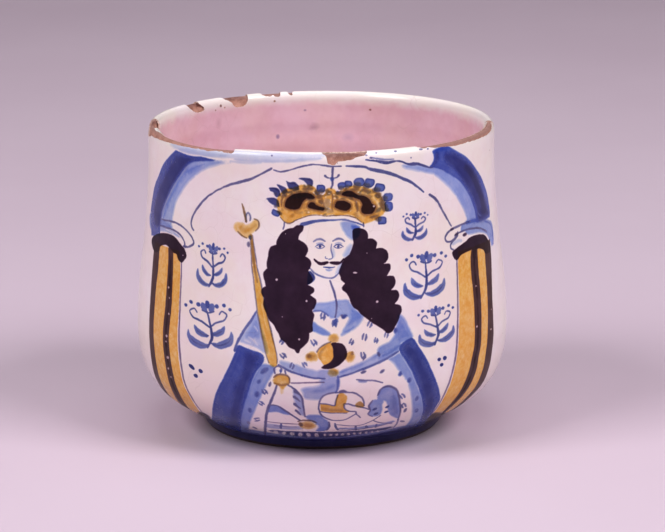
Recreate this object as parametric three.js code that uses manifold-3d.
// A wide tin-glazed earthenware cup: a thrown clay body under a white glaze.
//
// The clay was thrown and turned in one piece. The glaze is a skin on it: one coat
// outside, one inside, one under the foot, and what wear has left of the coat over the
// lip, which chips and rubbed arcs have broken into four islands.
//
// Millimetres, +Z up. The origin is at the middle of the foot, on the table, and the
// painted front faces -Y. An azimuth is in degrees round the cup from that front,
// positive towards +X.
import * as THREE from "three";
import { mergeVertices } from "three/addons/utils/BufferGeometryUtils.js";
import Module from "manifold-3d";

const wasm = await Module();
wasm.setup();

// The thrown body, outside.
const clayHeight = 84.5;
const rimRadius = 47.3;
const bellyRadius = 51.15;
const bellyHeight = 28.5;
const footRadius = 32.5; // at the table
const footFlare = 0.5; // how much wider the foot is where it meets the wall
const footHeight = 2.9;

// The foot ring and the hollow that it stands round.
const footRingWidth = 5.2;
const footHollowDepth = 1.7;
const footEdgeRound = 0.6;

// The wall and the floor.
const lipThickness = 2.2;
const lipRise = 2; // the lip's round starts this far below its crest
const bellyWall = 3.4;
const floorThickness = 4.6;
const floorFlatRadius = 24;

// Where each curve of the wall is pulled to, as a share of the height or width that it spans.
const footPullOut = 0.3;
const footPullUp = 0.2;
const hipPull = 0.22;
const bellyPull = 0.32;
const neckPull = 0.45;
const bowlPull = 0.42;
const floorPull = 0.55;

// The glaze.
const glazeThickness = 0.4;
const glazeGap = 0.05; // between the glaze and what it lies on or meets
const glazeFootLine = 0.7; // how far above the table the outside coat stops
const glazeLipAngle = 20; // the coats outside and inside stop this far up the lip's round

// Chips knocked out of the lip: half width along the rim, depth down the wall and into it.
// The side is +1 where the chip opens outwards and -1 where it opens inwards.
const frontChip = { azimuth: 8, halfWidth: 5.8, down: 3.2, into: 1.6, side: 1 };
const backNick = { azimuth: 194, halfWidth: 3, down: 1.2, into: 1.2, side: -1 };
const backChip = { azimuth: 209, halfWidth: 5, down: 3, into: 2.2, side: -1 };
const backLeftChip = { azimuth: 227, halfWidth: 4.2, down: 2.4, into: 2.2, side: -1 };
const leftChip = { azimuth: 270, halfWidth: 4.4, down: 3.2, into: 1.9, side: -1 };
const chips = [frontChip, backNick, backChip, backLeftChip, leftChip];
const chipInClay = 0.8; // a chip is this much smaller in the clay than in the glaze

// The lip is rubbed down to the clay on the right, and from the left chip to the front.
const wornRightStart = 32;
const wornRightEnd = 88;
const wornLeftEnd = 332;

// How finely curves are cut into straight pieces.
const turnSegments = 52;
const curvePieces = 8;
const lipPieces = 6;

const degree = Math.PI / 180;
const glazeOuter = glazeGap + glazeThickness;
const lipRound = lipThickness / 2;
const lipCentre = new THREE.Vector2(rimRadius - lipRound, clayHeight - lipRise);
const footTopRadius = footRadius + footFlare;
const floorTop = footHollowDepth + floorThickness;
const innerBellyRadius = bellyRadius - bellyWall;

// Points of a cubic curve between two ends, each with the point that pulls it.
function swell(from, pullFrom, pullTo, to) {
  const [a, b, c, d] = [from, pullFrom, pullTo, to].map((p) => new THREE.Vector2(...p));
  return new THREE.CubicBezierCurve(a, b, c, d).getPoints(curvePieces);
}

// The outside of the clay, from the foot ring's upper edge to the lip's round.
function outerWall() {
  const hip = bellyHeight - footHeight;
  const neck = lipCentre.y - bellyHeight;
  const spread = bellyRadius - footTopRadius;
  const lower = swell(
    [footTopRadius, footHeight],
    [footTopRadius + footPullOut * spread, footHeight + footPullUp * hip],
    [bellyRadius, footHeight + hipPull * hip],
    [bellyRadius, bellyHeight],
  );
  const upper = swell(
    [bellyRadius, bellyHeight],
    [bellyRadius, bellyHeight + bellyPull * neck],
    [rimRadius, bellyHeight + neckPull * neck],
    [rimRadius, lipCentre.y],
  );
  return [...lower, ...upper.slice(1)];
}

// The lip's round, half an ellipse, between two angles, 0 outside and 180 inside.
function lipArc(startAngle, endAngle, pieces = lipPieces) {
  const points = [];
  for (let i = 0; i <= pieces; i++) {
    const turn = (startAngle + ((endAngle - startAngle) * i) / pieces) * degree;
    const out = new THREE.Vector2(lipRound * Math.cos(turn), lipRise * Math.sin(turn));
    points.push(out.add(lipCentre));
  }
  return points;
}

// The inside of the clay, from the lip's round down to the middle of the floor.
function innerWall() {
  const innerRimRadius = rimRadius - lipThickness;
  const neck = lipCentre.y - bellyHeight;
  const bowl = bellyHeight - floorTop;
  const upper = swell(
    [innerRimRadius, lipCentre.y],
    [innerRimRadius, bellyHeight + neckPull * neck],
    [innerBellyRadius, bellyHeight + bellyPull * neck],
    [innerBellyRadius, bellyHeight],
  );
  const lower = swell(
    [innerBellyRadius, bellyHeight],
    [innerBellyRadius, floorTop + bowlPull * bowl],
    [floorFlatRadius + floorPull * (innerBellyRadius - floorFlatRadius), floorTop],
    [floorFlatRadius, floorTop],
  );
  return [...upper, ...lower.slice(1)];
}

// The underside, from the middle of the foot's hollow to the foot ring's upper edge.
function underside() {
  const ringInner = footRadius - footRingWidth;
  return [
    [0, footHollowDepth],
    [ringInner - footHollowDepth, footHollowDepth],
    [ringInner, footEdgeRound],
    [ringInner + footEdgeRound, 0],
    [footRadius - footEdgeRound, 0],
    [footRadius, footEdgeRound],
  ].map((p) => new THREE.Vector2(...p));
}

// An open profile moved out of its solid, which lies to its left as it is followed.
function offset(points, distance) {
  return points.map((point, i) => {
    const before = points[Math.max(i - 1, 0)];
    const after = points[Math.min(i + 1, points.length - 1)];
    const along = after.clone().sub(before).normalize();
    return point.clone().addScaledVector(new THREE.Vector2(along.y, -along.x), distance);
  });
}

// A closed skin of glaze that lies over a profile of the clay.
function skinOver(points) {
  const loop = [...offset(points, glazeOuter), ...offset(points, glazeGap).reverse()];
  return [...loop, loop[0].clone()];
}

// A profile turned once round the Z axis.
function turned(profile) {
  return new THREE.LatheGeometry(profile, turnSegments).rotateX(Math.PI / 2);
}

function toSolid(geometry) {
  const bare = geometry.clone();
  bare.deleteAttribute("normal");
  bare.deleteAttribute("uv");
  const merged = mergeVertices(bare, 1e-4);
  return new wasm.Manifold(
    new wasm.Mesh({
      numProp: 3,
      vertProperties: new Float32Array(merged.attributes.position.array),
      triVerts: new Uint32Array(merged.index.array),
    }),
  );
}

function toGeometry(solid) {
  const mesh = solid.getMesh();
  const geometry = new THREE.BufferGeometry();
  geometry.setAttribute("position", new THREE.BufferAttribute(mesh.vertProperties, 3));
  geometry.setIndex(new THREE.BufferAttribute(mesh.triVerts, 1));
  geometry.computeVertexNormals();
  return geometry;
}

// The radius of the glazed face that a chip opens to.
function chipFace(chip) {
  return lipCentre.x + chip.side * (lipRound + glazeOuter);
}

// The azimuth where a chip ends, on its -1 or +1 side.
function chipEdge(chip, side) {
  return chip.azimuth + (side * Math.asin(chip.halfWidth / chipFace(chip))) / degree;
}

// What a chip takes away: a squashed ball on that face, level with the glazed crest.
function chipSolid(chip, share) {
  const ball = new THREE.IcosahedronGeometry(1, 2);
  ball.scale(chip.halfWidth * share, chip.into * share, chip.down * share);
  ball.translate(0, -chipFace(chip), clayHeight + glazeOuter);
  ball.rotateZ(chip.azimuth * degree);
  return toSolid(ball);
}

function withoutChips(solid, share) {
  return chips.reduce((left, chip) => left.subtract(chipSolid(chip, share)), solid);
}

// A wedge that holds everything between two azimuths, which are under 180 degrees apart.
function wedge(start, end) {
  const reach = 2 * (bellyRadius + glazeOuter);
  const edge = (azimuth) => [Math.sin(azimuth * degree) * reach, -Math.cos(azimuth * degree) * reach];
  const sector = new THREE.Shape([
    new THREE.Vector2(0, 0),
    new THREE.Vector2(...edge(start)),
    new THREE.Vector2(...edge((start + end) / 2)),
    new THREE.Vector2(...edge(end)),
  ]);
  const block = new THREE.ExtrudeGeometry(sector, { depth: 2 * clayHeight, bevelEnabled: false });
  return toSolid(block);
}

function material(color, roughness) {
  return new THREE.MeshStandardMaterial({ color, roughness, metalness: 0 });
}

const clayMaterial = material(0xb5785f, 0.9);
const outsideMaterial = material(0xeadcd8, 0.25);
const insideMaterial = material(0xdbafbb, 0.3);

const cup = new THREE.Group();

function addPiece(name, solid, pieceMaterial) {
  const mesh = new THREE.Mesh(toGeometry(solid), pieceMaterial);
  mesh.name = name;
  cup.add(mesh);
}

// The clay body, with its lip, foot ring and floor.
const clayProfile = [
  ...underside(),
  ...outerWall(),
  ...lipArc(0, 180).slice(1, -1),
  ...innerWall(),
  new THREE.Vector2(0, floorTop),
];
addPiece("clay_body", withoutChips(toSolid(turned(clayProfile)), chipInClay), clayMaterial);

// The outside coat runs from just above the table over the foot and the wall to the lip.
const footSide = new THREE.Vector2(footRadius, glazeFootLine);
const outsideLine = [footSide, ...outerWall(), ...lipArc(0, glazeLipAngle, 2).slice(1)];
const outsideSkin = skinOver(outsideLine);
addPiece("outer_glaze", withoutChips(toSolid(turned(outsideSkin)), 1), outsideMaterial);

// The inside coat lies on the wall and right across the floor.
const insideLine = [...lipArc(180 - glazeLipAngle, 180, 2), ...innerWall().slice(1)];
const insideSkin = [
  new THREE.Vector2(0, floorTop + glazeGap),
  ...offset(insideLine, glazeGap).reverse(),
  ...offset(insideLine, glazeOuter),
  new THREE.Vector2(0, floorTop + glazeOuter),
];
addPiece("inner_glaze", withoutChips(toSolid(turned(insideSkin)), 1), insideMaterial);

// A thin disc of glaze lies in the foot's hollow, clear of the table.
const hollowRadius = footRadius - footRingWidth - footHollowDepth - glazeOuter;
const discProfile = [
  [0, footHollowDepth - glazeOuter],
  [hollowRadius, footHollowDepth - glazeOuter],
  [hollowRadius, footHollowDepth - glazeGap],
  [0, footHollowDepth - glazeGap],
].map((p) => new THREE.Vector2(...p));
addPiece("underside_glaze", toSolid(turned(discProfile)), outsideMaterial);

// What is left of the coat over the lip.
const lipStep = glazeGap / (lipRound + glazeOuter) / degree;
const lipSkin = skinOver(lipArc(glazeLipAngle + lipStep, 180 - glazeLipAngle - lipStep));
const lipRing = withoutChips(toSolid(turned(lipSkin)), 1);
const lipIslands = [
  ["rim_glaze_front", wornLeftEnd - 360, wornRightStart],
  ["rim_glaze_back", wornRightEnd, chipEdge(backChip, -1)],
  ["rim_glaze_back_left", chipEdge(backChip, 1), chipEdge(backLeftChip, -1)],
  ["rim_glaze_left", chipEdge(backLeftChip, 1), chipEdge(leftChip, -1)],
];
for (const [name, start, end] of lipIslands) {
  addPiece(name, lipRing.intersect(wedge(start, end)), outsideMaterial);
}

export default cup;
